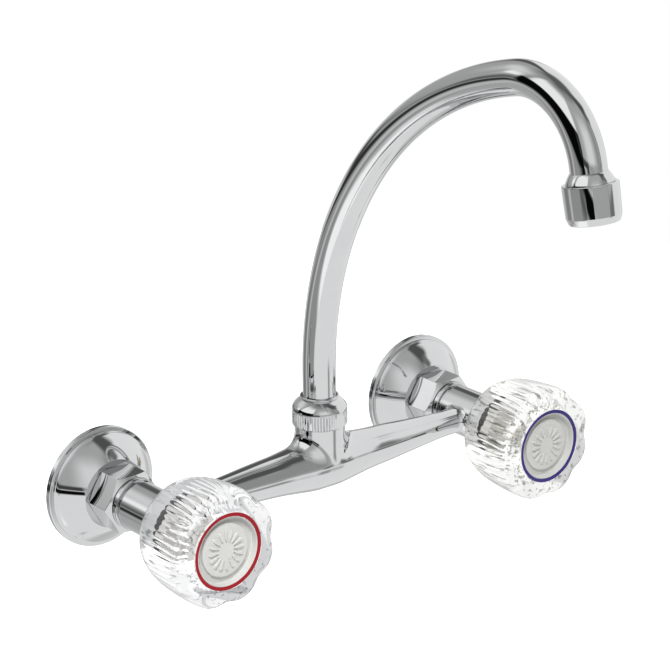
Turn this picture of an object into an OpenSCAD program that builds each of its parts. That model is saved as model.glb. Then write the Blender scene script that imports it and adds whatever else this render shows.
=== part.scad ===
// Wall-mounted laundry faucet with two clear knobs and a swinging high spout.
// Wall plane is Y = 0, the faucet stands out along -Y, +Z is up, hot side is at -X.

/* [Layout] */
// distance between the two supply centres
centres = 203; // [180:1:230]
// distance from the wall to the crossbar and spout axis
stand_off = 47.85; // [44:0.05:56]

/* [Wall flange] */
// radius of the flange rim
flange_r = 30.8; // [27:0.1:36]
// depth of the straight rim
rim_depth = 2.6; // [2:0.1:4]
// radius at the foot of the cone
cone_foot_r = 28; // [25:0.1:30]
// radius at the top of the cone
cone_top_r = 17.4; // [15:0.1:20]
// distance from the wall to the top of the cone
flange_depth = 14.2; // [12:0.1:16]
// sheet thickness
flange_wall = 1.2; // [0.8:0.1:2]

/* [Wall shank and union] */
// radius of the half inch pipe thread behind the wall plane
shank_r = 10.48; // [10.4:0.01:10.6]
// radius of the thread under the union nut
union_thread_r = 10.1; // [9.8:0.05:10.2]
// radius of the waterway in the shank
shank_bore_r = 7.5; // [5:0.1:8]
// length of the shank behind the wall plane
shank_back = 14; // [10:0.5:25]
// distance across the flats of the union nut
union_flats = 28.3; // [26:0.1:32]
// distance from the wall to the back of the union nut
union_back = 14.5; // [13:0.1:17]
// length of the union nut
union_len = 16.2; // [13:0.1:18]
// radius of the tailpiece
tail_r = 8.6; // [7.5:0.1:9]

/* [Mixer body] */
// radius of each valve barrel
barrel_r = 12.5; // [12:0.1:14]
// distance from the wall to the front face of the barrel
barrel_front = 72; // [70:0.5:76]
// radius of the valve chamber
chamber_r = 10.4; // [9.5:0.1:11]
// distance from the wall to the valve seat face
seat_t = 43.4; // [42:0.1:45]
// radius of the seat opening
seat_r = 5.5; // [4:0.1:6]
// radius of the body in the middle
belly_r = 13.1; // [12:0.1:15]
// radius of the arm where it leaves the middle
arm_root_r = 11.1; // [9:0.1:12]
// radius of the arm half way out
arm_mid_r = 7.9; // [7:0.1:10]
// radius of the arm where it meets the barrel
arm_end_r = 6.6; // [6:0.1:8]
// radius of the waterway along the arms
arm_bore_r = 4; // [3:0.1:4.5]
// radius of the spout boss
boss_r = 12.7; // [12:0.1:14]
// height of the top of the threaded boss
boss_top = 28.4; // [27:0.1:30]
// radius of the thread on the boss
boss_thread_r = 11.9; // [11.5:0.1:12.2]

/* [Spout nut] */
// radius of the nut over the knurl
nut_r = 13.9; // [13.5:0.1:16]
// height of the bottom edge of the nut
nut_z = 21.4; // [21:0.1:23]
// height of the knurled band
knurl_h = 7.8; // [6:0.1:10]
// height of the top of the dome
dome_z = 35.6; // [34:0.1:38]
// number of grooves in the knurl
knurl_count = 60; // [36:2:72]

/* [Spout] */
// outer radius of the tube
tube_r = 8.3; // [7:0.1:9]
// wall thickness of the tube
tube_wall = 1.2; // [0.8:0.1:1.5]
// height where the long sweep starts
sweep_z = 47.6; // [42:0.1:60]
// radius of the long sweep
sweep_r = 182.2; // [150:0.1:210]
// angle of the long sweep
sweep_angle = 77.2; // [70:0.1:82]
// radius of the hook
hook_r = 38.5; // [30:0.1:45]
// angle of the hook
hook_angle = 91.8; // [85:0.1:98]
// straight length after the hook
tip_len = 5.0; // [3:0.1:10]

/* [Outlet] */
// length of the flared end beyond the tube
bell_len = 2.1; // [1.5:0.1:8]
// radius of the wide end of the flare
bell_r = 11.0; // [10:0.1:12]
// radius of the aerator housing
aerator_r = 12.6; // [11.5:0.1:14]
// length of the aerator housing
aerator_len = 17.4; // [14:0.1:20]
// depth of the bevel at the mouth
aerator_bevel = 2.5; // [1:0.1:3]

/* [Valve] */
// radius of the spindle
spindle_r = 5; // [4.5:0.1:5.5]
// distance across the flats of the plunger
plunger_flats = 12.8; // [11.5:0.1:13]
// lift of the plunger from closed to open
valve_lift = 3; // [2:0.1:3.5]
// distance across the flats of the bonnet hexagon
bonnet_flats = 22; // [21:0.5:24]

/* [Knob] */
// distance from the wall to the back edge of the knob
knob_back = 68.4; // [67:0.1:70]
// distance from the wall to the front face of the knob
knob_front = 106.5; // [104:0.1:112]
// largest radius of the knob
knob_r = 29.5; // [27:0.1:33]
// radius of the back edge of the knob
knob_back_r = 24.4; // [23:0.1:27]
// number of lobes
lobes = 8; // [6:1:10]
// depth of the notch between two lobes at the front
notch = 2.6; // [1:0.1:3.5]
// radius of the hollow at the front
hollow_r = 19.6; // [18.5:0.1:21]
// number of ribs in the hollow
rib_count = 24; // [12:4:36]
// outer radius of the index ring
ring_r = 19.2; // [18:0.1:20]
// width of the index ring
ring_w = 1.2; // [0.8:0.1:2.5]
// depth of the cap below the knob face
cap_drop = 2.4; // [1.5:0.1:3]
// number of petals in the sunburst
petals = 16; // [8:1:20]

/* [Hidden] */
$fn = 96;
half = centres / 2;
sides = [-1, 1];
gap = 0.3;
snug = 0.05;
tiny = 0.01;
deep = 200;
chrome = [0.86, 0.87, 0.88];
brass = [0.80, 0.66, 0.36];
nickel = [0.72, 0.71, 0.68];
black = [0.10, 0.10, 0.10];
white = [0.92, 0.92, 0.90];
clear = [0.93, 0.95, 0.95, 0.35];
red = [0.55, 0.08, 0.12];
blue = [0.16, 0.14, 0.45];
cap_grey = [0.80, 0.80, 0.78];
steel = [0.70, 0.71, 0.72];

union_front = union_back + union_len;
hex_k = 1 / cos(30);
union_corner_r = union_flats / 2 * hex_k;
chamfer_slope = tan(30);
back_land_r = union_flats / 2 - 0.3;
front_land_r = union_flats / 2 - 0.9;
blank_r = union_corner_r + 0.1;
cone_swell = 0.35;
lip = 3.2;
tail_collar_r = union_thread_r - gap;
tail_collar = 1.6;
tail_start = union_front - lip - 0.2 - tail_collar;
washer_len = 1.5;
shank_end = tail_start - washer_len - 0.1;
tail_end = tail_start + 12;

collar_t = union_front + gap;
collar_len = 2.8;
collar_bevel = 0.4;
collar_r = barrel_r + 0.6;
groove_t = collar_t + collar_len;
groove_len = 0.5;
groove_r = barrel_r - 1.3;
barrel_t = groove_t + groove_len;
edge_r = 2.0;
seat_land = 1.2;
seat_lip_r = seat_r + 2.2;
middle_half = 8;
shoulder_x = 22;
arm_mid_x = 62;
shoulder_z = 16.3;
neck_z = nut_z - 1.5;
nest_r = boss_r + 0.2;
ferrule_r = 9.8;
boss_bore_r = ferrule_r + snug;
ferrule_z = 7;
ferrule_flange_z = boss_top + 0.2;
ferrule_flange = 1.6;
mix_r = 6;
oring_z = [12, 21];
oring_seat_r = ferrule_r - 1;
oring_wire = (boss_bore_r - oring_seat_r) / 2 - 0.02;
oring_mid_r = (boss_bore_r + oring_seat_r) / 2;
oring_slot = 1.4;

nut_thread_r = boss_thread_r + snug;
friction_z = ferrule_flange_z + ferrule_flange + 0.05;
friction_h = 1.2;
friction_r = 11.4;
nut_shoulder_z = friction_z + friction_h + 0.05;
nut_hole_r = tube_r + 0.15;
dome_r = tube_r + 1.1;
nut_ring_h = 0.9;
nut_ring_r = tube_r + 0.7;
knurl_groove = 0.35;

tube_in_r = tube_r - tube_wall;
end_angle = sweep_angle + hook_angle;
hook_cx = sweep_r + (sweep_r - hook_r) * cos(180 - sweep_angle);
hook_cy = sweep_z + (sweep_r - hook_r) * sin(180 - sweep_angle);
tip_x = hook_cx + hook_r * cos(180 - end_angle);
tip_y = hook_cy + hook_r * sin(180 - end_angle);
tube_foot_z = ferrule_z + 2;
band = 1;
band_lip = 0.05;
bell_t = tip_len - 2.4;
bell_wide_t = tip_len + bell_len;
outlet_r = aerator_r - 1.9;
outlet_len = 9;
housing_t = bell_wide_t + gap;
housing_end = housing_t + aerator_len;
cart_r = aerator_r - 2.4;
cart_t = bell_wide_t + outlet_len + 1.9;
mouth_r = aerator_r - 3.4;

chamber_t = seat_t - seat_land;
nose_t = 52;
bonnet_seat_t = barrel_front + 1.3;
bonnet_hex_len = 5.7;
bonnet_neck_t = bonnet_seat_t + bonnet_hex_len;
bonnet_end = 84.5;
bonnet_neck_r = 8.2;
cavity_flats = plunger_flats + 0.2;
plunger_end = 61;
cavity_end = plunger_end + valve_lift + 5;
nose_r = chamber_r - snug;
spindle_bore_r = spindle_r + snug;
seal_t = bonnet_seat_t + 4;
seal_wire = 0.75;
seal_ring_r = spindle_r + seal_wire + 0.05;
seal_groove_r = seal_ring_r + seal_wire + 0.03;
screw_thread_r = 3;
tip_t = 53;
spindle_collar_t = 66.2;
spindle_collar = 2.6;
spindle_collar_r = 6.2;
square_t = 85;
square_w = 6.9;
spindle_end = 96.5;
knob_screw_r = 1.85;

seat_washer = 2.2;
plunger_t = seat_t + seat_washer;
plunger_disc = 2;
plunger_disc_r = 8.4;
plunger_bore_t = 49.3;
washer_r = 7.9;

web_t = 97;
recess_t = knob_front - 5;
recess_r = ring_r - ring_w;
ring_depth = 2;
cap_r = recess_r - 0.12;
cap_t = recess_t + 0.5;
cap_face = knob_front - cap_drop;
cap_disc_r = cap_r * 0.74;
cap_disc = 0.6;
cap_rim_w = 0.6;
cap_rim_drop = 0.4;
petal_in = cap_r * 0.24;
petal_out = cap_r * 0.585;
petal_w = cap_r * 0.075;
petal_root = cap_r * 0.09;
petal_shoulder = cap_r * 0.07;
petal_tip = cap_r * 0.017;
petal_depth = 0.35;
hub_r = 8.6;
hub_t = 85.2;
socket_w = square_w + 0.2;
head_r = 3.8;
head_t = 99.4;
rib_r = 1.1;
scallop_r = 12;
scallop_tilt = 5.5;

// Local Z runs out from the wall at one supply centre.
module outward(side) {
  translate([side * half, 0, 0])
    rotate([90, 0, 0])
      children();
}

// Local X runs out from the wall, local Y runs up, in the plane of the spout.
module spout_plane() {
  translate([0, -stand_off, 0])
    rotate([90, 0, -90])
      children();
}

// Local Z runs out of the end of the tube.
module tip() {
  spout_plane()
    translate([tip_x, tip_y, 0])
      rotate([0, 0, 90 - end_angle])
        rotate([0, 90, 0])
          children();
}

module ring_solid(outer, inner, from, to) {
  translate([0, 0, from])
    difference() {
      cylinder(r = outer, h = to - from);
      translate([0, 0, -1])
        cylinder(r = inner, h = to - from + 2);
    }
}

module hexagon(flats, from, to) {
  translate([0, 0, from])
    cylinder(r = flats / 2 * hex_k, h = to - from, $fn = 6);
}

// One arm, tapering from the middle to the barrel.
module arm(side) {
  run = arm_mid_x - shoulder_x + 4;
  rotate([0, side * 90, 0]) {
    translate([0, 0, shoulder_x - 4])
      cylinder(r1 = arm_root_r, r2 = arm_mid_r, h = run);
    translate([0, 0, arm_mid_x - tiny])
      cylinder(r1 = arm_mid_r, r2 = arm_end_r, h = half - 14 - arm_mid_x);
    translate([0, 0, half - 14 - 2 * tiny])
      cylinder(r = arm_end_r, h = 10);
  }
}

// Belly, shoulders and the foot of the spout boss as one rounded piece.
module middle() {
  hull() {
    rotate([0, 90, 0])
      cylinder(r = belly_r, h = 2 * middle_half, center = true, $fn = 48);
    for (s = sides)
      translate([s * shoulder_x, 0, 0])
        rotate([0, 90, 0])
          cylinder(r = arm_root_r + 0.3, h = 1, center = true, $fn = 48);
    cylinder(r = nest_r, h = shoulder_z, $fn = 48);
  }
}

module barrel() {
  rotate_extrude()
    difference() {
      union() {
        polygon([
          [0, collar_t], [collar_r - collar_bevel, collar_t], [collar_r, collar_t + collar_bevel],
          [collar_r, groove_t - collar_bevel], [collar_r - collar_bevel, groove_t], [0, groove_t]
        ]);
        translate([0, groove_t - tiny])
          square([groove_r, groove_len + 2 * tiny]);
        translate([0, barrel_t])
          square([barrel_r - edge_r, barrel_front - barrel_t]);
        translate([0, barrel_t + edge_r])
          square([barrel_r, barrel_front - barrel_t - edge_r]);
        translate([barrel_r - edge_r, barrel_t + edge_r])
          circle(r = edge_r, $fn = 48);
      }
      translate([-deep, 0])
        square([deep, deep]);
    }
}

module barrel_bores() {
  translate([0, 0, collar_t - 1])
    cylinder(r = tail_r + snug, h = tail_end + 0.3 - collar_t + 1);
  translate([0, 0, collar_t])
    cylinder(r = seat_r, h = seat_t - collar_t + 1);
  ring_solid(chamber_r, seat_lip_r, chamber_t, seat_t + tiny);
  translate([0, 0, seat_t])
    cylinder(r = chamber_r, h = barrel_front - seat_t + 1);
}

module mixer_body() {
  color(chrome)
    difference() {
      union() {
        translate([0, -stand_off, 0]) {
          for (s = sides)
            arm(s);
          middle();
          cylinder(r = boss_r, h = neck_z);
          cylinder(r = boss_thread_r, h = boss_top);
        }
        for (s = sides)
          outward(s)
            barrel();
      }
      for (s = sides)
        outward(s)
          barrel_bores();
      translate([0, -stand_off, 0]) {
        rotate([0, 90, 0])
          cylinder(r = arm_bore_r, h = centres - 8, center = true);
        cylinder(r = mix_r, h = boss_top);
        translate([0, 0, ferrule_z - 1])
          cylinder(r = boss_bore_r, h = boss_top);
      }
    }
}

module flange(side) {
  foot_t = rim_depth + 1.4;
  step_r = cone_foot_r + 0.7;
  mid_r = (cone_foot_r + cone_top_r) / 2 + cone_swell;
  mid_t = (foot_t + flange_depth) / 2 + cone_swell;
  color(chrome)
    outward(side)
      rotate_extrude()
        polygon([
          [flange_r, 0], [flange_r, rim_depth - 0.5], [flange_r - 0.5, rim_depth],
          [step_r, rim_depth + 0.1], [step_r, foot_t - 0.4], [cone_foot_r, foot_t],
          [mid_r, mid_t], [cone_top_r, flange_depth],
          [shank_r + 0.6, flange_depth], [shank_r + 0.6, flange_depth - flange_wall],
          [cone_top_r - 0.6, flange_depth - flange_wall],
          [mid_r - 0.8, mid_t - flange_wall], [cone_foot_r - 1, foot_t - flange_wall],
          [flange_r - flange_wall, rim_depth - flange_wall], [flange_r - flange_wall, 0]
        ]);
}

module shank(side) {
  color(brass)
    outward(side)
      difference() {
        union() {
          translate([0, 0, -shank_back])
            cylinder(r = shank_r, h = shank_back);
          translate([0, 0, -shank_back])
            cylinder(r = union_thread_r, h = shank_back + shank_end);
        }
        translate([0, 0, -shank_back - 1])
          cylinder(r = shank_bore_r, h = shank_back + shank_end + 2);
      }
}

module union_nut(side) {
  color(chrome)
    outward(side)
      difference() {
        intersection() {
          hexagon(union_flats, union_back, union_front);
          rotate_extrude()
            polygon([
              [0, union_back], [back_land_r, union_back],
              [blank_r, union_back + (blank_r - back_land_r) * chamfer_slope],
              [blank_r, union_front - (blank_r - front_land_r) * chamfer_slope],
              [front_land_r, union_front], [0, union_front]
            ]);
        }
        translate([0, 0, union_back - 1])
          cylinder(r = union_thread_r + snug, h = union_len - lip + 1);
        cylinder(r = tail_r + 0.25, h = union_front + 1);
      }
}

module union_washer(side) {
  color(black)
    outward(side)
      ring_solid(tail_collar_r, shank_bore_r, shank_end + tiny, tail_start - tiny);
}

module tailpiece(side) {
  color(brass)
    outward(side) {
      difference() {
        union() {
          translate([0, 0, tail_start])
            cylinder(r = tail_collar_r, h = tail_collar);
          translate([0, 0, tail_start])
            cylinder(r = tail_r, h = tail_end - tail_start);
        }
        translate([0, 0, tail_start - 1])
          cylinder(r = tail_r - 2.2, h = tail_end);
      }
    }
}

module bonnet(side) {
  color(nickel)
    outward(side)
      difference() {
        union() {
          translate([0, 0, nose_t])
            cylinder(r = nose_r, h = bonnet_seat_t - nose_t + 1);
          hexagon(bonnet_flats, bonnet_seat_t, bonnet_neck_t);
          translate([0, 0, bonnet_neck_t - 1])
            cylinder(r = bonnet_neck_r, h = bonnet_end - bonnet_neck_t + 1);
        }
        hexagon(cavity_flats, nose_t - 1, cavity_end);
        translate([0, 0, nose_t])
          cylinder(r = spindle_bore_r, h = bonnet_end);
        translate([0, 0, seal_t - seal_wire - 0.05])
          cylinder(r = seal_groove_r, h = 2 * seal_wire + 0.1);
      }
}

module bonnet_washer(side) {
  color(black)
    outward(side)
      ring_solid(barrel_r - 0.3, nose_r + 0.1, barrel_front + tiny, bonnet_seat_t - tiny);
}

module stem_seal(side) {
  color(black)
    outward(side)
      translate([0, 0, seal_t])
        rotate_extrude()
          translate([seal_ring_r, 0])
            circle(r = seal_wire, $fn = 24);
}

module spout_nut() {
  color(chrome)
    translate([0, -stand_off, 0])
      difference() {
        union() {
          translate([0, 0, nut_z])
            cylinder(r = nut_r, h = knurl_h);
          translate([0, 0, nut_z + knurl_h - tiny])
            cylinder(r1 = nut_r, r2 = dome_r, h = dome_z - nut_z - knurl_h);
          translate([0, 0, dome_z - 0.5])
            cylinder(r = nut_ring_r, h = nut_ring_h + 0.5);
        }
        translate([0, 0, nut_z - 1])
          cylinder(r = nut_thread_r, h = nut_shoulder_z - nut_z + 1);
        cylinder(r = nut_hole_r, h = dome_z + 5);
        for (i = [0 : knurl_count - 1])
          rotate([0, 0, i * 360 / knurl_count])
            translate([nut_r + 0.1, 0, nut_z + 0.5])
              rotate([0, 0, 45])
                translate([-knurl_groove, -knurl_groove, 0])
                  cube([2 * knurl_groove, 2 * knurl_groove, knurl_h - 1]);
      }
}

module friction_ring() {
  slot = 1.6;
  color(white)
    translate([0, -stand_off, 0])
      difference() {
        ring_solid(friction_r, nut_hole_r + 0.3, friction_z, friction_z + friction_h);
        translate([-slot / 2, 0, friction_z - 1])
          cube([slot, friction_r + 1, friction_h + 2]);
      }
}

module plunger(side) {
  color(brass)
    outward(side)
      difference() {
        union() {
          translate([0, 0, plunger_t])
            cylinder(r = plunger_disc_r, h = plunger_disc);
          hexagon(plunger_flats, plunger_t + 0.5, plunger_end);
        }
        translate([0, 0, plunger_bore_t])
          cylinder(r = screw_thread_r + snug, h = plunger_end);
        translate([0, 0, plunger_t - 1])
          cylinder(r = 1.5 + 0.02, h = 4);
      }
}

module seat_washer(side) {
  color(black)
    outward(side)
      difference() {
        translate([0, 0, seat_t + tiny])
          cylinder(r = washer_r, h = seat_washer - 2 * tiny);
        translate([0, 0, seat_t - 1])
          cylinder(r = 1.6, h = seat_washer + 2);
        translate([0, 0, seat_t - 1])
          cylinder(r = 3.2, h = 2);
      }
}

module washer_screw(side) {
  color(brass)
    outward(side)
      union() {
        translate([0, 0, seat_t - 0.6])
          cylinder(r = 3, h = 1.55);
        translate([0, 0, seat_t])
          cylinder(r = 1.5, h = 5);
      }
}

module spindle(side) {
  color(nickel)
    outward(side)
      difference() {
        union() {
          translate([0, 0, tip_t])
            cylinder(r = screw_thread_r, h = spindle_collar_t - tip_t + 1);
          translate([0, 0, spindle_collar_t])
            cylinder(r = spindle_collar_r, h = spindle_collar);
          translate([0, 0, spindle_collar_t + 1])
            cylinder(r = spindle_r, h = square_t - spindle_collar_t - 1);
          translate([-square_w / 2, -square_w / 2, square_t - 1])
            cube([square_w, square_w, spindle_end - square_t + 1]);
        }
        translate([0, 0, square_t + 1])
          cylinder(r = knob_screw_r + 0.03, h = spindle_end);
      }
}

// Notches between the lobes, cut deepest at the front and fading to the back.
module scallops() {
  for (i = [0 : lobes - 1])
    rotate([0, 0, i * 360 / lobes])
      translate([knob_r - notch + scallop_r, 0, knob_front - 2])
        rotate([0, -scallop_tilt, 0])
          translate([0, 0, -deep / 2])
            cylinder(r = scallop_r, h = deep);
}

module hollow_ribs() {
  for (i = [0 : rib_count - 1])
    rotate([0, 0, (i + 0.5) * 360 / rib_count])
      translate([hollow_r + 0.3, 0, knob_back + 6])
        cylinder(r = rib_r, h = web_t - knob_back - 7, $fn = 16);
}

module knob(side) {
  color(clear)
    outward(side)
      difference() {
        rotate_extrude()
          polygon([
            [hub_r, hub_t], [0, hub_t], [0, knob_front],
            [ring_r + 1.5, knob_front], [ring_r + 5, knob_front - 0.3],
            [knob_r - 2.6, knob_front - 1.2], [knob_r - 1, knob_front - 2.8],
            [knob_r - 0.2, knob_front - 5], [knob_r, knob_front - 8],
            [knob_r, knob_front - 12], [knob_r - 0.5, knob_back + 18.5],
            [knob_r - 1.2, knob_back + 11.5], [knob_r - 2.3, knob_back + 6.5],
            [knob_back_r + 1.4, knob_back + 2.6], [knob_back_r, knob_back + 0.7],
            [knob_back_r - 1.2, knob_back], [hollow_r + 1.8, knob_back],
            [hollow_r + 0.9, knob_back + 1.4], [hollow_r, web_t], [hub_r, web_t]
          ]);
        scallops();
        hollow_ribs();
        translate([0, 0, recess_t])
          cylinder(r = recess_r, h = 10);
        translate([0, 0, knob_front - ring_depth])
          cylinder(r = ring_r + 0.05, h = 10);
        translate([0, 0, head_t - 0.05])
          cylinder(r = head_r + 0.3, h = 10);
        translate([0, 0, hub_t])
          cylinder(r = knob_screw_r + 0.35, h = 20);
        translate([-socket_w / 2, -socket_w / 2, hub_t - 1])
          cube([socket_w, socket_w, web_t - hub_t + 1]);
      }
}

module index_ring(side) {
  color(side < 0 ? red : blue)
    outward(side)
      ring_solid(ring_r, recess_r + 0.05, knob_front - ring_depth + tiny, knob_front);
}

module petal() {
  linear_extrude(height = 2)
    polygon([
      [petal_in, 0], [petal_in + petal_root, -petal_w * 0.30],
      [petal_out - petal_shoulder, -petal_w / 2], [petal_out - petal_tip, -petal_w * 0.36],
      [petal_out, 0], [petal_out - petal_tip, petal_w * 0.36],
      [petal_out - petal_shoulder, petal_w / 2], [petal_in + petal_root, petal_w * 0.30]
    ]);
}

module index_cap(side) {
  color(cap_grey)
    outward(side)
      difference() {
        union() {
          translate([0, 0, cap_t])
            cylinder(r = cap_r, h = cap_face - cap_disc - cap_t);
          translate([0, 0, cap_t])
            cylinder(r = cap_disc_r, h = cap_face - cap_t);
          ring_solid(cap_r, cap_r - cap_rim_w, cap_t, knob_front - cap_rim_drop);
        }
        for (i = [0 : petals - 1])
          rotate([0, 0, i * 360 / petals])
            translate([0, 0, cap_face - petal_depth])
              petal();
      }
}

module knob_screw(side) {
  color(steel)
    outward(side)
      difference() {
        union() {
          translate([0, 0, head_t])
            cylinder(r = head_r, h = recess_t - head_t + 0.3);
          translate([0, 0, square_t + 2])
            cylinder(r = knob_screw_r, h = head_t - square_t - 1);
        }
        translate([-head_r - 1, -0.5, recess_t - 0.9])
          cube([2 * head_r + 2, 1, 3]);
      }
}

// The whole run of the tube, filled. The short band closes the butt joint between the two bends.
module filled_run(r) {
  sweep_cut = atan(band / 4 / sweep_r);
  hook_cut = atan(band / 4 / hook_r);
  translate([0, tube_foot_z, 0])
    rotate([-90, 0, 0])
      cylinder(r = r, h = sweep_z - tube_foot_z, $fn = 48);
  translate([sweep_r, sweep_z, 0])
    rotate_extrude(angle = sweep_angle - sweep_cut, start = 180 - sweep_angle + sweep_cut, $fn = 180)
      translate([sweep_r, 0])
        circle(r = r, $fn = 48);
  translate([tip_x, tip_y, 0])
    rotate([0, 0, 180 - end_angle]) {
      rotate([90, 0, 0])
        cylinder(r = r, h = tip_len, $fn = 48);
      translate([-hook_r, 0, 0])
        rotate_extrude(angle = hook_angle - hook_cut, start = 0, $fn = 72)
          translate([hook_r, 0])
            circle(r = r, $fn = 48);
    }
  translate([sweep_r, sweep_z, 0])
    rotate([0, 0, -sweep_angle])
      translate([-sweep_r, 0, 0])
        rotate([-90, 0, 0])
          cylinder(r = r + band_lip, h = band, center = true, $fn = 48);
}

module spout_tube() {
  color(chrome)
    spout_plane()
      difference() {
        filled_run(tube_r);
        filled_run(tube_in_r);
      }
}

module spout_ferrule() {
  color(brass)
    translate([0, -stand_off, 0])
      difference() {
        union() {
          translate([0, 0, ferrule_z])
            cylinder(r = ferrule_r, h = ferrule_flange_z - ferrule_z + 0.5);
          translate([0, 0, ferrule_flange_z])
            cylinder(r = friction_r, h = ferrule_flange);
        }
        translate([0, 0, tube_foot_z - 0.1])
          cylinder(r = tube_r + 0.03, h = deep);
        cylinder(r = mix_r, h = deep);
        for (z = oring_z)
          ring_solid(ferrule_r + 1, oring_seat_r, z - oring_slot / 2, z + oring_slot / 2);
      }
}

module spout_orings() {
  color(black)
    translate([0, -stand_off, 0])
      for (z = oring_z)
        translate([0, 0, z])
          rotate_extrude()
            translate([oring_mid_r, 0])
              circle(r = oring_wire, $fn = 24);
}

module spout_outlet() {
  color(chrome)
    tip()
      rotate_extrude()
        difference() {
          polygon([
            [tube_r + 0.03, bell_t], [tube_r + 0.35, bell_t], [tube_r + 1.3, bell_t + 0.9],
            [bell_r - 0.5, bell_t + 2.6], [bell_r - 0.1, bell_t + 3.8],
            [bell_r, bell_wide_t - 0.2], [bell_r, bell_wide_t],
            [outlet_r, bell_wide_t], [outlet_r, bell_wide_t + outlet_len],
            [outlet_r - 1.9, bell_wide_t + outlet_len], [outlet_r - 1.9, bell_wide_t - 1],
            [tube_in_r, tip_len + 0.6], [tube_in_r, tip_len + tiny], [tube_r + 0.03, tip_len + tiny]
          ]);
        }
}

module aerator_housing() {
  color(chrome)
    tip()
      rotate_extrude()
        polygon([
          [outlet_r + snug, housing_t], [aerator_r - 0.4, housing_t], [aerator_r, housing_t + 0.4],
          [aerator_r - 0.3, housing_end - aerator_bevel],
          [aerator_r - 0.7, housing_end - aerator_bevel * 0.4],
          [aerator_r - 1.6, housing_end], [mouth_r, housing_end], [mouth_r, housing_end - 1.2],
          [outlet_r + snug, housing_end - 1.2]
        ]);
}

module aerator_gasket() {
  gasket_t = bell_wide_t + outlet_len;
  color(black)
    tip()
      ring_solid(outlet_r - 0.1, cart_r - 2.4, gasket_t + tiny, cart_t - tiny);
}

module aerator_cartridge() {
  cart_end = housing_end - 1.3;
  holes = 6;
  color(white)
    tip()
      difference() {
        translate([0, 0, cart_t])
          cylinder(r = cart_r, h = cart_end - cart_t);
        translate([0, 0, cart_t + 1.4])
          cylinder(r = cart_r - 1.5, h = cart_end);
        cylinder(r = 1.1, h = cart_end);
        for (i = [0 : holes - 1])
          rotate([0, 0, i * 360 / holes])
            translate([cart_r * 0.5, 0, 0])
              cylinder(r = 1.1, h = cart_end, $fn = 32);
      }
}

module aerator_screen() {
  screen_t = housing_end - 2.6;
  screen_r = cart_r - 1.6;
  slots = 4;
  bar = 3.2;
  color(steel)
    tip()
      difference() {
        translate([0, 0, screen_t])
          cylinder(r = screen_r, h = 0.8);
        for (i = [-(slots - 1) / 2 : (slots - 1) / 2])
          for (j = [-(slots - 1) / 2 : (slots - 1) / 2])
            translate([i * bar - 1, j * bar - 1, screen_t - 1])
              cube([2, 2, 3]);
      }
}

mixer_body();
flange(-1);  // hot_flange
flange(1);  // cold_flange
shank(-1);  // hot_shank
shank(1);  // cold_shank
union_nut(-1);  // hot_union_nut
union_nut(1);  // cold_union_nut
union_washer(-1);  // hot_union_washer
union_washer(1);  // cold_union_washer
tailpiece(-1);  // hot_tailpiece
tailpiece(1);  // cold_tailpiece
bonnet(-1);  // hot_bonnet
bonnet(1);  // cold_bonnet
bonnet_washer(-1);  // hot_bonnet_washer
bonnet_washer(1);  // cold_bonnet_washer
stem_seal(-1);  // hot_stem_seal
stem_seal(1);  // cold_stem_seal
spout_nut();
friction_ring();
plunger(-1);  // hot_plunger
seat_washer(-1);  // hot_seat_washer
washer_screw(-1);  // hot_washer_screw
plunger(1);  // cold_plunger
seat_washer(1);  // cold_seat_washer
washer_screw(1);  // cold_washer_screw
spindle(-1);  // hot_spindle
knob(-1);  // hot_knob
index_ring(-1);  // hot_index_ring
index_cap(-1);  // hot_index_cap
knob_screw(-1);  // hot_knob_screw
spindle(1);  // cold_spindle
knob(1);  // cold_knob
index_ring(1);  // cold_index_ring
index_cap(1);  // cold_index_cap
knob_screw(1);  // cold_knob_screw
spout_tube();
spout_ferrule();
spout_orings();
spout_outlet();
aerator_housing();
aerator_gasket();
aerator_cartridge();
aerator_screen();
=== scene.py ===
import math
import bmesh
import bpy
import numpy as np
from mathutils import Matrix, Vector


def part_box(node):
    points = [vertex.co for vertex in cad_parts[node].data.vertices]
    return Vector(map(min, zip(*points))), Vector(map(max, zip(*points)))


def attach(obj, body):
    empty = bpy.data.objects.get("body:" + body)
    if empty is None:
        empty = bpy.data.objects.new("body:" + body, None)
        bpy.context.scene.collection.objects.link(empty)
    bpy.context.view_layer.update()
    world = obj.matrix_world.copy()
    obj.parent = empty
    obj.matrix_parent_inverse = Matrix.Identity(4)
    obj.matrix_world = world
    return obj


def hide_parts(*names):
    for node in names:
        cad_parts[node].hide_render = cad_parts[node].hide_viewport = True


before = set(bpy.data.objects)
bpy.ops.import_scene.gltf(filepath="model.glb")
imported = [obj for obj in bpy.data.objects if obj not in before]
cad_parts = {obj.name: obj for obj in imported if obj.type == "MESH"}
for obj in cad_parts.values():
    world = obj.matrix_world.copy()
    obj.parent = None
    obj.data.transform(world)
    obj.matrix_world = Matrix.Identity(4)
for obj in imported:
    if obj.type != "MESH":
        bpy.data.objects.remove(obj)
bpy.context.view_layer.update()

MM = 0.001
SIDES = (("hot", -1), ("cold", 1))


def span(node):
    """Lowest and highest corner of a CAD node in mm, to a hundredth."""
    return [[round(c / MM, 2) for c in corner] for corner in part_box(node)]


# Sizes that the frame gives, in mm. Radii are r, distances out from the wall are t.
flange_low, flange_high = span("cold_flange")
union_low, union_high = span("cold_union_nut")
body_low, body_high = span("mixer_body")
spout_nut_low, spout_nut_high = span("spout_nut")
tube_low = span("spout_tube")[0]
knob_low, knob_high = span("cold_knob")
cap_low, cap_high = span("cold_index_cap")

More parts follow.
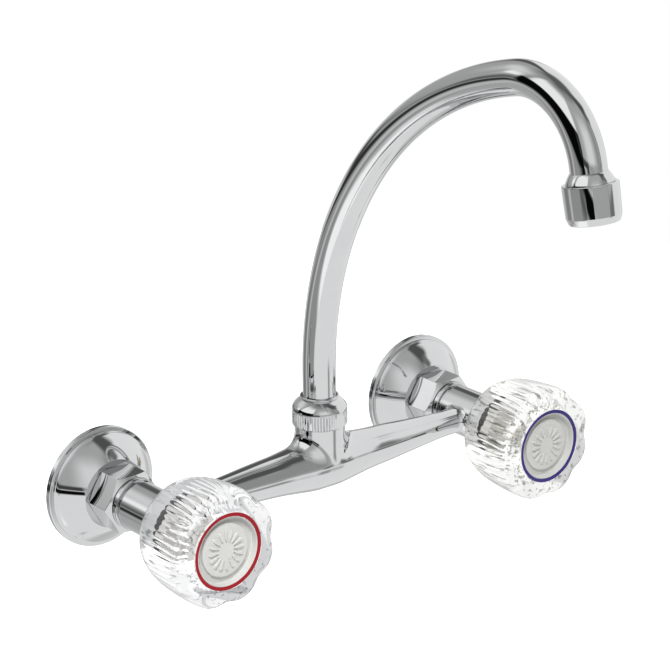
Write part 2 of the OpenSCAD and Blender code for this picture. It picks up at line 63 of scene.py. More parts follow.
HALF = (flange_low[0] + flange_high[0]) / 2                 # middle line to the axis of a supply
STAND_OFF = -(spout_nut_low[1] + spout_nut_high[1]) / 2     # wall to the axis of crossbar and spout
FLANGE_R = (flange_high[0] - flange_low[0]) / 2
FLANGE_FRONT = -flange_low[1]
UNION_BACK, UNION_FRONT = -union_high[1], -union_low[1]
UNION_FLATS = union_high[2] - union_low[2]
BARREL_FRONT = -body_low[1]
BELLY_R = -body_low[2]
BOSS_TOP = body_high[2]
SPOUT_NUT_R = spout_nut_high[0]
SPOUT_NUT_FOOT = spout_nut_low[2]
TUBE_FOOT = tube_low[2]
KNOB_BACK, KNOB_FRONT = -knob_high[1], -knob_low[1]
CAP_BACK, CAP_RIM = -cap_high[1], -cap_low[1]


# Camera: its place in metres, its own three axes, and its lens in mm

CAMERA_PLACE = (-0.81943, -1.08362, 0.53593)
CAMERA_RIGHT = (0.77771, -0.62851, -0.01193)
CAMERA_UP = (0.21889, 0.25296, 0.94239)
CAMERA_BACK = (-0.58928, -0.73552, 0.33430)
CAMERA_LENS = 152.83
CAMERA_SENSOR = 36


def place_camera():
    """Looks at the faucet from the left and from above."""
    data = bpy.data.cameras.new("view")
    data.lens = CAMERA_LENS
    data.sensor_width = CAMERA_SENSOR
    data.sensor_fit = "HORIZONTAL"
    data.clip_start = 0.05
    data.clip_end = 60
    camera = bpy.data.objects.new("view", data)
    bpy.context.scene.collection.objects.link(camera)
    turn = Matrix((CAMERA_RIGHT, CAMERA_UP, CAMERA_BACK)).transposed().to_4x4()
    camera.matrix_world = Matrix.Translation(CAMERA_PLACE) @ turn
    bpy.context.scene.camera = camera


# Steps of the modelling

def deselect():
    """Leaves edit mode and selects nothing."""
    if bpy.context.object and bpy.context.object.mode != "OBJECT":
        bpy.ops.object.mode_set(mode="OBJECT")
    bpy.ops.object.select_all(action="DESELECT")


def take(piece):
    """Makes one piece the only selected one."""
    deselect()
    piece.select_set(True)
    bpy.context.view_layer.objects.active = piece


def start_edit(piece):
    take(piece)
    bpy.ops.object.mode_set(mode="EDIT")


def end_edit():
    bpy.ops.object.mode_set(mode="OBJECT")


def settle(piece, matrix=None):
    """Writes the place of a piece into its mesh."""
    take(piece)
    if matrix is not None:
        piece.matrix_world = matrix @ piece.matrix_world
    bpy.ops.object.transform_apply(location=True, rotation=True, scale=True)


def unselected(piece):
    """The mesh of the piece in edit mode, with nothing selected."""
    mesh = bmesh.from_edit_mesh(piece.data)
    for elements in (mesh.verts, mesh.edges, mesh.faces):
        for element in elements:
            element.select = False
    return mesh


def pick(piece, wanted):
    """Selects the vertices whose place the test accepts. The piece is in edit mode."""
    mesh = unselected(piece)
    for v in mesh.verts:
        v.select = bool(wanted(v.co))
    mesh.select_flush_mode()
    bmesh.update_edit_mesh(piece.data)


def pick_faces(piece, wanted):
    """Selects the faces whose middle the test accepts. The piece is in edit mode."""
    mesh = unselected(piece)
    for f in mesh.faces:
        if wanted(f.calc_center_median()):
            f.select_set(True)
    bmesh.update_edit_mesh(piece.data)


def pick_open_edges(piece):
    """Selects the edges that only one face touches. The piece is in edit mode."""
    mesh = unselected(piece)
    for e in mesh.edges:
        if e.is_boundary:
            e.select_set(True)
    bmesh.update_edit_mesh(piece.data)


def widen(factor, t=0):
    """Scales what is selected about the Z axis, at one height in mm."""
    bpy.ops.transform.resize(value=(factor, factor, 1), center_override=(0, 0, t * MM))


def ring(radius, height, segments):
    """Starts a turned piece: one ring of edges, in edit mode and selected."""
    deselect()
    bpy.ops.mesh.primitive_circle_add(vertices=segments, radius=radius * MM, location=(0, 0, 0))
    piece = bpy.context.object
    bpy.ops.object.mode_set(mode="EDIT")
    bpy.ops.mesh.select_mode(type="VERT")
    bpy.ops.mesh.select_all(action="SELECT")
    bpy.ops.transform.translate(value=(0, 0, height * MM))
    return piece


def pull(profile, here):
    """Pulls the selected ring on through the (radius, height) points of a profile."""
    r0, t0 = here
    for r, t in profile:
        bpy.ops.mesh.extrude_region_move(TRANSFORM_OT_translate={"value": (0, 0, (t - t0) * MM)})
        if r < 1e-6:
            bpy.ops.mesh.merge(type="CENTER")
            break
        if abs(r - r0) > 1e-9:
            widen(r / r0, t)
        r0, t0 = r, t


def seal():
    """Joins the meeting rings and points the faces outwards. The piece is in edit mode."""
    bpy.ops.mesh.select_all(action="SELECT")
    bpy.ops.mesh.remove_doubles(threshold=1e-6)
    bpy.ops.mesh.normals_make_consistent(inside=False)
    end_edit()


def turned(name, profile, segments=128):
    """A piece turned about Z from a closed section of (radius, height) points in mm."""
    piece = ring(*profile[0], segments)
    pull(list(profile[1:]) + [profile[0]], profile[0])
    seal()
    piece.name = piece.data.name = name
    return piece


def sleeve(inner, outer, low, high):
    """Section of a plain sleeve, in mm."""
    return [(inner, low), (outer, low), (outer, high), (inner, high)]


def cylinder(radius, length, sides, middle=(0, 0, 0)):
    """A plain cylinder along Z, in mm."""
    deselect()
    bpy.ops.mesh.primitive_cylinder_add(vertices=sides, radius=radius * MM, depth=length * MM,
                                        location=[c * MM for c in middle])
    return bpy.context.object


def arc(cx, cy, r, a0, a1, steps):
    """Points of a rounded corner in a section, between two angles in degrees."""
    turn = [math.radians(a0 + (a1 - a0) * i / steps) for i in range(steps + 1)]
    return [(cx + r * math.cos(a), cy + r * math.sin(a)) for a in turn]


def apply(piece, kind, **settings):
    """Adds a modifier and applies it."""
    take(piece)
    mod = piece.modifiers.new(kind.lower(), kind)
    for key, value in settings.items():
        setattr(mod, key, value)
    bpy.ops.object.modifier_apply(modifier=mod.name)


def combine(piece, other, operation):
    """Cuts with a second piece, or keeps what both share, and removes the second."""
    apply(piece, "BOOLEAN", object=other, operation=operation, solver="EXACT")
    bpy.data.objects.remove(other)


def shade(piece, angle):
    take(piece)
    bpy.ops.object.shade_smooth_by_angle(angle=math.radians(angle))


def dress(piece, bevel=0.2, segments=3, angle=32):
    """Breaks the sharp edges and gives the faces clean shading."""
    if bevel:
        apply(piece, "BEVEL", width=bevel * MM, segments=segments, limit_method="ANGLE",
              angle_limit=math.radians(28), use_clamp_overlap=True, miter_outer="MITER_ARC")
    shade(piece, angle)
    apply(piece, "WEIGHTED_NORMAL", mode="FACE_AREA", weight=60, keep_sharp=True)


def twin(piece, name, place):
    """A second one of the same piece, with its own mesh, at its own place."""
    other = piece.copy()
    other.data = piece.data.copy()
    other.name = other.data.name = name
    bpy.context.scene.collection.objects.link(other)
    settle(other, place)
    return other


def outward(side, t=0):
    """Local Z runs out from the wall at one supply centre, from the distance t."""
    turn = Matrix.Translation((side * HALF * MM, 0, 0)) @ Matrix.Rotation(math.radians(90), 4, "X")
    return turn @ Matrix.Translation((0, 0, t * MM))


def on_spout_axis():
    """Local Z is the upright axis of the spout."""
    return Matrix.Translation((0, -STAND_OFF * MM, 0))


def fit(piece, body, slot, material, *stands_for):
    """Gives a piece its material, and fastens it to a body in place of CAD nodes."""
    piece.data.materials.clear()
    piece.data.materials.append(material)
    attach(piece, body)
    if stands_for:
        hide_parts(*stands_for)


def fit_pair(piece, name, cad=None):
    """Fits a chrome piece of the mixer, made at the middle line, on both sides."""
    made = [(word, twin(piece, word + "_" + name, outward(side))) for word, side in SIDES]
    bpy.data.objects.remove(piece)
    for word, one in made:
        fit(one, "mixer", "chrome", chrome, *([word + "_" + cad] if cad else []))


# Materials

def shader(name):
    """A material with nothing but a Principled BSDF."""
    material = bpy.data.materials.new(name)
    material.use_nodes = True
    tree = material.node_tree
    tree.nodes.clear()
    out = tree.nodes.new("ShaderNodeOutputMaterial")
    bsdf = tree.nodes.new("ShaderNodeBsdfPrincipled")
    tree.links.new(bsdf.outputs["BSDF"], out.inputs["Surface"])
    return material, tree, bsdf


def group_of(name, inputs, outputs):
    """An empty node group with number sockets."""
    group = bpy.data.node_groups.new(name, "ShaderNodeTree")
    for label, default in inputs:
        socket = group.interface.new_socket(label, in_out="INPUT", socket_type="NodeSocketFloat")
        socket.default_value = default
    for label in outputs:
        group.interface.new_socket(label, in_out="OUTPUT", socket_type="NodeSocketFloat")
    return group, group.nodes.new("NodeGroupInput"), group.nodes.new("NodeGroupOutput")


def use(tree, group, **values):
    """Places a node group with its own values."""
    node = tree.nodes.new("ShaderNodeGroup")
    node.node_tree = group
    for label, value in values.items():
        node.inputs[label.replace("_", " ")].default_value = value
    return node


def map_range(tree, value, start, end):
    """0 at start and 1 at end, clamped."""
    node = tree.nodes.new("ShaderNodeMapRange")
    node.inputs["From Min"].default_value = start
    node.inputs["From Max"].default_value = end
    tree.links.new(value, node.inputs["Value"])
    return node


def calculator(tree):
    """Gives the function that adds Math nodes to this tree, from numbers and sockets."""
    def math_node(kind, *values):
        node = tree.nodes.new("ShaderNodeMath")
        node.operation = kind
        for socket, value in zip(node.inputs, values):
            if isinstance(value, (int, float)):
                socket.default_value = value
            else:
                tree.links.new(value, socket)
        return node.outputs[0]
    return math_node


def bump(tree, bsdf, height, strength, distance):
    node = tree.nodes.new("ShaderNodeBump")
    node.inputs["Strength"].default_value = strength
    node.inputs["Distance"].default_value = distance
    tree.links.new(height, node.inputs["Height"])
    tree.links.new(node.outputs["Normal"], bsdf.inputs["Normal"])


def tint(tree, bsdf, mask, low, high, start=0.35, end=0.65):
    """Colours the surface from low to high as the mask goes from start to end."""
    ramp = tree.nodes.new("ShaderNodeValToRGB")
    for stop, position, colour in zip(ramp.color_ramp.elements, (start, end), (low, high)):
        stop.position = position
        stop.color = (*colour, 1)
    tree.links.new(mask, ramp.inputs["Fac"])
    tree.links.new(ramp.outputs["Color"], bsdf.inputs["Base Color"])


def surface_grain():
    """Cloudy fingerprints and fine grain: a roughness that changes over the surface, and a height."""
    group, given, out = group_of(
        "surface_grain",
        [("Low", 0.03), ("High", 0.07), ("Cloud Scale", 60.0), ("Grain Scale", 900.0)],
        ["Roughness", "Height", "Mask"])
    add, link = group.nodes.new, group.links.new
    place = add("ShaderNodeTexCoord")
    cloud = add("ShaderNodeTexNoise")
    cloud.inputs["Detail"].default_value = 4
    cloud.inputs["Roughness"].default_value = 0.6
    grain = add("ShaderNodeTexNoise")
    grain.inputs["Detail"].default_value = 2
    for noise, label in ((cloud, "Cloud Scale"), (grain, "Grain Scale")):
        link(place.outputs["Object"], noise.inputs["Vector"])
        link(given.outputs[label], noise.inputs["Scale"])
    spread = map_range(group, cloud.outputs["Fac"], 0.35, 0.70)
    link(given.outputs["Low"], spread.inputs["To Min"])
    link(given.outputs["High"], spread.inputs["To Max"])
    link(spread.outputs["Result"], out.inputs["Roughness"])
    link(grain.outputs["Fac"], out.inputs["Height"])
    link(cloud.outputs["Fac"], out.inputs["Mask"])
    return group


GRAIN = surface_grain()
CLOUD_SCALE, GRAIN_SCALE, GRAIN_DEPTH = 60.0, 900.0, 0.00002


def finish_of(name, low, high, metallic, rough, height=0.0, **sockets):
    """A finish whose colour, gloss and fine relief change a little over the surface."""
    material, tree, bsdf = shader(name)
    grain = use(tree, GRAIN, Low=rough[0], High=rough[1], Cloud_Scale=CLOUD_SCALE, Grain_Scale=GRAIN_SCALE)
    tree.links.new(grain.outputs["Roughness"], bsdf.inputs["Roughness"])
    tint(tree, bsdf, grain.outputs["Mask"], low, high)
    bsdf.inputs["Metallic"].default_value = metallic
    if height:
        bump(tree, bsdf, grain.outputs["Height"], height, GRAIN_DEPTH)
    for label, value in sockets.items():
        bsdf.inputs[label.replace("_", " ")].default_value = value
    return material


chrome = finish_of("polished_chrome", (0.635, 0.640, 0.645), (0.655, 0.660, 0.665),
                   metallic=1, rough=(0.0, 0.012))
brass = finish_of("machined_brass", (0.70, 0.55, 0.28), (0.80, 0.65, 0.36),
                  metallic=1, rough=(0.16, 0.32), height=0.15)
nickel = finish_of("nickel_plate", (0.66, 0.65, 0.62), (0.72, 0.71, 0.69),
                   metallic=1, rough=(0.12, 0.22), height=0.1)
rubber = finish_of("black_rubber", (0.020, 0.020, 0.020), (0.035, 0.035, 0.035),
                   metallic=0, rough=(0.55, 0.75), height=0.3)
nylon = finish_of("white_nylon", (0.86, 0.86, 0.83), (0.90, 0.90, 0.88),
                  metallic=0, rough=(0.40, 0.55), height=0.2)
steel = finish_of("stainless_steel", (0.58, 0.58, 0.58), (0.66, 0.66, 0.66),
                  metallic=1, rough=(0.18, 0.30), height=0.1)
red = finish_of("dark_red_ring", (0.27, 0.004, 0.010), (0.31, 0.005, 0.012),
                metallic=0, rough=(0.16, 0.24), height=0.1, Specular_IOR_Level=0.25)
blue = finish_of("dark_blue_ring", (0.026, 0.018, 0.15), (0.032, 0.022, 0.18),
                 metallic=0, rough=(0.16, 0.24), height=0.1, Specular_IOR_Level=0.25)
cap_grey = finish_of("satin_grey_cap", (0.56, 0.56, 0.54), (0.59, 0.59, 0.565),
                     metallic=0, rough=(0.30, 0.42), height=0.15)

STREAK_SCALE = (520, 70, 520)      # narrow across the knob and long along it
STREAK_EDGE = 0.10                 # how softly a streak begins
PAINTED_SHADE_START, PAINTED_SHADE_END = 0.66, 0.94    # where painted shade darkens the edge of the acrylic, seen at a slant
ACRYLIC_BEND = 1.49


def acrylic_of(name, clear, dark, streak_start):
    """Clear moulded acrylic: painted shade darkens it at its edges seen at a slant, and dark streaks run
    along the knob.
    """
    material, tree, bsdf = shader(name)
    add, link = tree.nodes.new, tree.links.new
    grain = use(tree, GRAIN, Low=0.0, High=0.015, Cloud_Scale=45.0, Grain_Scale=120.0)
    link(grain.outputs["Roughness"], bsdf.inputs["Roughness"])
    bump(tree, bsdf, grain.outputs["Height"], 0.05, 0.0001)
    place = add("ShaderNodeTexCoord")
    stretch = add("ShaderNodeMapping")
    stretch.inputs["Scale"].default_value = STREAK_SCALE
    link(place.outputs["Object"], stretch.inputs["Vector"])
    flow = add("ShaderNodeTexNoise")
    flow.inputs["Scale"].default_value = 1.0
    flow.inputs["Detail"].default_value = 2
    link(stretch.outputs["Vector"], flow.inputs["Vector"])
    streak = map_range(tree, flow.outputs["Fac"], streak_start, streak_start + STREAK_EDGE)
    # Painted shade: the colour darkens where the surface is seen at a slant, so the edges of the knob look
    # dark.
    facing = add("ShaderNodeLayerWeight")
    facing.inputs["Blend"].default_value = 0.5
    rim = map_range(tree, facing.outputs["Facing"], PAINTED_SHADE_START, PAINTED_SHADE_END)
    streaks_and_painted_shade = calculator(tree)("MAXIMUM", streak.outputs["Result"], rim.outputs["Result"])
    tint(tree, bsdf, streaks_and_painted_shade, clear, dark, 0.0, 1.0)
    bsdf.inputs["Transmission Weight"].default_value = 1
    bsdf.inputs["IOR"].default_value = ACRYLIC_BEND
    return material


# The dark colours tint the streaks and the painted shade at the edges of the knobs.
clear_hot = acrylic_of("clear_acrylic_hot", (0.99, 0.995, 1.0), (0.20, 0.205, 0.21), 0.60)
clear_cold = acrylic_of("clear_acrylic_cold", (0.985, 0.985, 0.965), (0.18, 0.185, 0.155), 0.56)


# Wall flanges

def cone(r0, t0, r1, t1, bulge, steps):
    """A slightly swollen cone between two points of a section."""
    rows = []
    length = math.hypot(r1 - r0, t1 - t0)
    out = ((t1 - t0) / length, (r0 - r1) / length)
    for i in range(steps + 1):
        k = i / steps
        lift = 4 * bulge * k * (1 - k)
        rows.append((r0 + (r1 - r0) * k + out[0] * lift, t0 + (t1 - t0) * k + out[1] * lift))
    return rows


def make_flanges():
    """A thin cone on a stepped rim, open towards the wall."""
    rim_t, rim_round = 2.8, 0.5
    step_r, step_t = 28.75, 3.75
    foot_r, foot_t = 28.0, 4.1
    top_r, hole_r = 17.4, 11.1
    wall, swell = 1.1, 0.5
    inside_foot_r, inside_foot_t, inside_rim_t = 27.2, 3.4, 1.9
    outside = cone(foot_r, foot_t, top_r, FLANGE_FRONT, swell, 12)
    inside = cone(top_r - 0.4, FLANGE_FRONT - wall, inside_foot_r, inside_foot_t, 0.0, 6)
    profile = ([(FLANGE_R, 0), (FLANGE_R, rim_t - rim_round)]
               + arc(FLANGE_R - rim_round, rim_t - rim_round, rim_round, 0, 90, 4)[1:]
               + [(step_r, rim_t + 0.05), (step_r, step_t)] + outside
               + [(hole_r, FLANGE_FRONT), (hole_r, FLANGE_FRONT - wall)] + inside
               + [(FLANGE_R - wall, inside_rim_t), (FLANGE_R - wall, 0)])
    flange = turned("flange", profile, 160)
    dress(flange, 0.12, 2)
    fit_pair(flange, "wall_flange", "flange")


# Union nuts

def make_union_nuts():
    """A hexagon with its corners turned off, screwed over the shank."""
    inscribed = UNION_FLATS / 2
    corner = inscribed / math.cos(math.radians(30))
    slope = math.tan(math.radians(30))
    back_land, front_land = inscribed - 0.3, inscribed - 0.9    # flat circles left at the two ends
    tail_r, thread_r, core, lip = 8.85, 10.15, 2, 3.2
    past = 1                                                    # how far the cutters reach past the nut
    wide = corner + 0.3
    back, front = UNION_BACK - past, UNION_FRONT + past
    nut = cylinder(corner, UNION_FRONT - UNION_BACK, 6, (0, 0, (UNION_FRONT + UNION_BACK) / 2))
    settle(nut, Matrix.Rotation(math.radians(30), 4, "Z"))
    chamfers = turned("chamfers", [(tail_r, back), (back_land - past / slope, back),
                                   (wide, UNION_BACK + (wide - back_land) * slope),
                                   (wide, UNION_FRONT - (wide - front_land) * slope),
                                   (front_land - past / slope, front), (tail_r, front)], 192)
    combine(nut, chamfers, "INTERSECT")
    thread = turned("nut_thread", sleeve(core, thread_r, back, UNION_FRONT - lip), 96)
    combine(nut, thread, "DIFFERENCE")
    dress(nut, 0.22, 3, 30)
    fit_pair(nut, "hex_nut", "union_nut")


# Mixer body

# Crossbar, from its middle outwards. Each pair: distance from the middle, radius.
ARM = ((0, BELLY_R), (8, BELLY_R), (14.5, 12.2), (21, 11.4), (28, 10.5), (42, 9.6), (62, 7.9),
       (77, 6.7), (87, 6.6), (120, 6.6))
BLANK_STATIONS = (8, 14.5, 28, 42, 62, 87)
BLANK_END = 97
BOSS_R = 12.7
FOOT_R, FOOT_LEN = 12.45, 26
NECK_TOP = 21.0
BOSS_BLEND, FOOT_BLEND = 7.6, 3.2
TINY = 1e-6


def arm_radius(x):
    """Radius of the crossbar at a distance from its middle, smoothed between the measured places."""
    x = np.abs(x)
    ends, radii = zip(*ARM)
    steps = np.linspace(-4, 4, 9)
    return np.mean([np.interp(np.abs(x + s), ends, radii) for s in steps], axis=0)


def unit(vectors):
    return vectors / np.linalg.norm(vectors, axis=1, keepdims=True)


def blend(fa, na, fb, nb, width):
    """Joins two shapes with a fillet. Each is a signed distance and its slope."""
    k = width * (1 - np.sum(na * nb, -1) ** 2) + 0.05
    h = np.clip(0.5 + 0.5 * (fb - fa) / k, 0, 1)
    f = fb * (1 - h) + fa * h - k * h * (1 - h)
    n = nb * (1 - h)[:, None] + na * h[:, None]
    return f, unit(n)


def casting_shape(p):
    """Signed distance in mm to the crossbar with its boss and the feet of the barrels, and its slope."""
    x, y, z = p[:, 0], p[:, 1] + STAND_OFF, p[:, 2]
    across = np.sqrt(y * y + z * z) + TINY
    bar = across - arm_radius(x)
    step = 0.05
    taper = (arm_radius(x + step) - arm_radius(x - step)) / (2 * step)
    bar_n = np.stack([-taper, y / across, z / across], -1)
    low = np.minimum(z, 0)
    round_ = np.sqrt(x * x + y * y + low * low) + TINY
    boss_n = np.stack([x / round_, y / round_, low / round_], -1)
    side = np.abs(x) - HALF
    far = np.sqrt(side * side + z * z) + TINY
    foot_n = np.stack([side / far * np.sign(x), 0 * x, z / far], -1)
    f, n = blend(bar, bar_n, round_ - BOSS_R, boss_n, BOSS_BLEND)
    return blend(f, n, far - FOOT_R, foot_n, FOOT_BLEND)


def read_points(mesh):
    co = np.zeros(len(mesh.vertices) * 3)
    mesh.vertices.foreach_get("co", co)
    return co.reshape(-1, 3) / MM


def write_points(mesh, points):
    mesh.vertices.foreach_set("co", (points * MM).ravel())
    mesh.update()


def casting_blank():
    """The turned crossbar, the boss and the feet of the barrels as one mesh of even faces."""
    radius_at = dict(ARM)
    half = [(radius_at[x], x) for x in BLANK_STATIONS] + [(radius_at[BLANK_STATIONS[-1]], BLANK_END)]
    core, boss_len = 0.5, 24
    blank = turned("blank", [(core, -BLANK_END)] + [(r, -x) for r, x in reversed(half)] + half
                   + [(core, BLANK_END)], 64)
    settle(blank, on_spout_axis() @ Matrix.Rotation(math.radians(90), 4, "Y"))
    boss = cylinder(BOSS_R, boss_len, 96, (0, -STAND_OFF, boss_len / 2))
    settle(boss)
    feet = []
    for _, side in SIDES:
        foot = cylinder(FOOT_R, FOOT_LEN, 96)
        settle(foot, outward(side, STAND_OFF))
        feet.append(foot)
    take(blank)
    for other in [boss] + feet:
        other.select_set(True)
    bpy.ops.object.join()
    apply(blank, "REMESH", mode="VOXEL", voxel_size=0.5 * MM, adaptivity=0)
    return blank


def draw_on_to_shape(mesh, rounds=14, last_evening=12, reach=1.5):
    """Moves the points on to the smooth casting and evens them out. The ends that are cut off later stay."""
    points = read_points(mesh)
    edges = np.zeros(len(mesh.edges) * 2, int)
    mesh.edges.foreach_get("vertices", edges)
    first, second = edges.reshape(-1, 2).T
    count = np.bincount(edges, minlength=len(points))[:, None]
    keep = (points[:, 2] > NECK_TOP + 1.5) | (np.abs(points[:, 0]) > HALF - 2.5)
    for step in range(rounds):
        f, n = casting_shape(points)
        move = np.where(keep, 0, np.clip(f, -reach, reach))
        points = points - n * move[:, None]
        if step < last_evening:
            total = np.zeros_like(points)
            for k in range(3):
                total[:, k] = (np.bincount(first, points[second, k], len(points))
                               + np.bincount(second, points[first, k], len(points)))
            drift = total / count - points
            drift -= n * np.sum(drift * n, -1)[:, None]
            points = points + np.where(keep[:, None], 0, 0.5 * drift)
    write_points(mesh, points)


def drop_outside(piece):
    """Removes the loose shells left beyond the barrels."""
    start_edit(piece)
    pick(piece, lambda c: abs(c.x) > (HALF - 5) * MM)
    bpy.ops.mesh.delete(type="VERT")
    end_edit()


def casting_normals(piece):
    """Shades the casting by its exact slope, and the cuts flat."""
    mesh = piece.data
    _, slope = casting_shape(read_points(mesh))
    mesh.shade_smooth()
    normals = []
    for face in mesh.polygons:
        own = np.array(face.normal)
        for v in face.vertices:
            normals.append(slope[v] if slope[v] @ own > 0.9 else own)
    mesh.normals_split_custom_set([tuple(n) for n in normals])


def make_casting():
    """Crossbar and boss as one casting, cut off at the neck, bored and opened at the barrels."""
    bore_r, bore_foot, bore_top, core = 9.85, 6, 30, 2
    opening_r, opening_len = 11.4, 44
    casting = casting_blank()
    draw_on_to_shape(casting.data)
    start_edit(casting)
    bpy.ops.mesh.select_all(action="SELECT")
    bpy.ops.mesh.bisect(plane_co=(0, 0, NECK_TOP * MM), plane_no=(0, 0, 1), clear_outer=True, use_fill=True)
    end_edit()
    bore = turned("bore", sleeve(core, bore_r, bore_foot, bore_top), 96)
    settle(bore, on_spout_axis())
    cutters = [bore]
    for _, side in SIDES:
        cutter = cylinder(opening_r, opening_len, 128)
        settle(cutter, outward(side, STAND_OFF))
        cutters.append(cutter)
    for cutter in cutters:
        combine(casting, cutter, "DIFFERENCE")
    drop_outside(casting)
    casting.name = casting.data.name = "crossbar"
    casting_normals(casting)
    fit(casting, "mixer", "chrome", chrome, "mixer_body")


def make_boss_thread():
    """The threaded neck of the boss, inside the spout nut."""
    inner_r, outer_r = 9.85, 11.9
    thread = turned("boss_thread", sleeve(inner_r, outer_r, NECK_TOP - 0.5, BOSS_TOP), 96)
    settle(thread, on_spout_axis())
    dress(thread, 0.2, 2)
    fit(thread, "mixer", "chrome", chrome)


def make_barrels():
    """The two valve barrels, with the small collar and groove behind them."""
    barrel_r, shoulder, front_edge = 12.5, 2.0, 0.4
    collar_r, collar_back, collar_front, collar_round = 13.1, UNION_FRONT + 0.3, 33.8, 0.3
    groove_r, groove_front = 11.2, 34.4
    shoulder_t, middle_t = 36.3, 50
    chamber_r, chamber_back = 10.4, 42.2
    seat_r, seat_hole_r, seat_front = 7.7, 5.5, 43.4
    tail_r, tail_front = 8.65, 38
    collar_centre_r = collar_r - collar_round
    profile = ([(tail_r, collar_back)]
               + arc(collar_centre_r, collar_back + collar_round, collar_round, -90, 0, 4)
               + arc(collar_centre_r, collar_front - collar_round, collar_round, 0, 90, 4)
               + [(groove_r, collar_front), (groove_r, groove_front)]
               + arc(barrel_r - shoulder, shoulder_t, shoulder, -69, 0, 12)
               + [(barrel_r, middle_t), (barrel_r, BARREL_FRONT - front_edge),
                  (barrel_r - front_edge, BARREL_FRONT), (chamber_r, BARREL_FRONT),
                  (chamber_r, chamber_back), (seat_r, chamber_back), (seat_r, seat_front),
                  (seat_hole_r, seat_front), (seat_hole_r, tail_front), (tail_r, tail_front)])
    barrel = turned("barrel", profile, 144)
    dress(barrel, 0.1, 2)
    fit_pair(barrel, "valve_barrel")


# Spout nut

def make_spout_nut():
    """A knurled nut with a domed top and a thin crown round the tube."""
    ribs, across = 60, 4
    groove_half, groove_depth = 0.1, 0.42      # half the width in shares of a rib, and the depth in mm
    foot, knurl_top = SPOUT_NUT_FOOT, 29.2
    foot_r, thread_r, tube_hole_r, ceiling = 13.3, 11.95, 8.45, 31.5
    step_r, step_top, dome_foot, dome_slope = 13.7, 29.45, 29.55, 0.145
    crown_r, crown_t, crown_round = 9.35, 36.0, 0.45
    crown_top = crown_t + crown_round
    dome_steps = (0, 0.8, 1.6, 2.4, 3.2, 4.0, 4.7, 5.3, 5.75)
    dome = [(SPOUT_NUT_R - dome_slope * d * d, dome_foot + d) for d in dome_steps]
    profile = ([(thread_r, foot), (foot_r, foot), (SPOUT_NUT_R - 0.15, foot + 0.35),
                (SPOUT_NUT_R, foot + 0.7), (SPOUT_NUT_R, knurl_top - 0.5), (SPOUT_NUT_R, knurl_top),
                (step_r, knurl_top + 0.1), (step_r, step_top)]
               + dome + arc(crown_r, crown_t, crown_round, -60, 90, 8)
               + [(tube_hole_r, crown_top), (tube_hole_r, ceiling), (thread_r, ceiling)])
    nut = turned("spout_nut_shell", profile, ribs * across)
    start_edit(nut)

    def groove(co):
        turn = math.atan2(co.y, co.x) / (2 * math.pi) * ribs
        outside = math.hypot(co.x, co.y) > (SPOUT_NUT_R - 0.05) * MM
        on_band = (foot + 0.5) * MM < co.z < (knurl_top - 0.1) * MM
        return abs(turn - round(turn)) < groove_half and outside and on_band

    pick(nut, groove)
    widen((SPOUT_NUT_R - groove_depth) / SPOUT_NUT_R)
    end_edit()
    settle(nut, on_spout_axis())
    shade(nut, 24)
    fit(nut, "mixer", "chrome", chrome, "spout_nut")


# Spout

TUBE_R, TUBE_WALL = 8.3, 1.2
SWEEP_Z, SWEEP_R, SWEEP_TURN = 47.6, 182.2, 77.2
HOOK_R, HOOK_TURN, TIP_LEN = 38.5, 91.8, 5.0


def spout_centres():
    """Centres of the two bends, the end of the hook and the way it points, in mm."""
    a = math.radians(SWEEP_TURN)
    end = math.radians(SWEEP_TURN + HOOK_TURN)
    sweep = Vector((0, -STAND_OFF - SWEEP_R, SWEEP_Z))
    hook = sweep + (SWEEP_R - HOOK_R) * Vector((0, math.cos(a), math.sin(a)))
    tip = hook + HOOK_R * Vector((0, math.cos(end), math.sin(end)))
    return sweep, hook, tip, Vector((0, -math.sin(end), math.cos(end)))


def make_spout_tube():
    """A straight foot, a long sweep, a tighter hook and a short straight end."""
    sweep, hook, _, heading = spout_centres()
    tube = ring(TUBE_R, 0, 128)
    bpy.ops.transform.translate(value=(0, -STAND_OFF * MM, TUBE_FOOT * MM))
    bpy.ops.mesh.extrude_region_move(TRANSFORM_OT_translate={"value": (0, 0, (SWEEP_Z - TUBE_FOOT) * MM)})
    for centre, turn, steps in ((sweep, SWEEP_TURN, 110), (hook, HOOK_TURN, 96)):
        bpy.ops.mesh.spin(steps=steps, angle=math.radians(turn), center=centre * MM, axis=(-1, 0, 0))
    bpy.ops.mesh.extrude_region_move(TRANSFORM_OT_translate={"value": heading * TIP_LEN * MM})
    seal()
    tube.name = tube.data.name = "swan_tube"
    apply(tube, "SOLIDIFY", thickness=TUBE_WALL * MM, offset=-1)
    shade(tube, 35)
    fit(tube, "spout", "chrome", chrome, "spout_tube")


# Spout outlet and aerator. Heights run out from the end of the hook.

BELL_TOP = 7.1


def tip_frame():
    """Local Z runs out of the end of the tube."""
    _, _, tip, _ = spout_centres()
    return Matrix.Translation(tip * MM) @ Matrix.Rotation(math.radians(SWEEP_TURN + HOOK_TURN), 4, "X")


def make_outlet():
    """The flared end of the tube, with the thread for the aerator."""
    tube_hole_r, thread_r, seat_r, water_r = 8.33, 10.7, 8.8, 7.1
    thread_end, seat, water_top, tube_stop = BELL_TOP + 9, BELL_TOP - 1, 5.6, TIP_LEN + 0.01
    flare = [(tube_hole_r, 2.6), (8.5, 2.62), (8.95, 3.2), (9.5, 4.1), (10.05, 5.1), (10.5, 6.0),
             (10.85, 6.8), (11.0, BELL_TOP)]
    inside = [(thread_r, BELL_TOP), (thread_r, thread_end), (seat_r, thread_end), (seat_r, seat),
              (water_r, water_top), (water_r, tube_stop), (tube_hole_r, tube_stop)]
    bell = turned("outlet_bell", flare + inside, 128)
    settle(bell, tip_frame())
    dress(bell, 0.12, 2)
    fit(bell, "spout", "chrome", chrome, "spout_outlet")


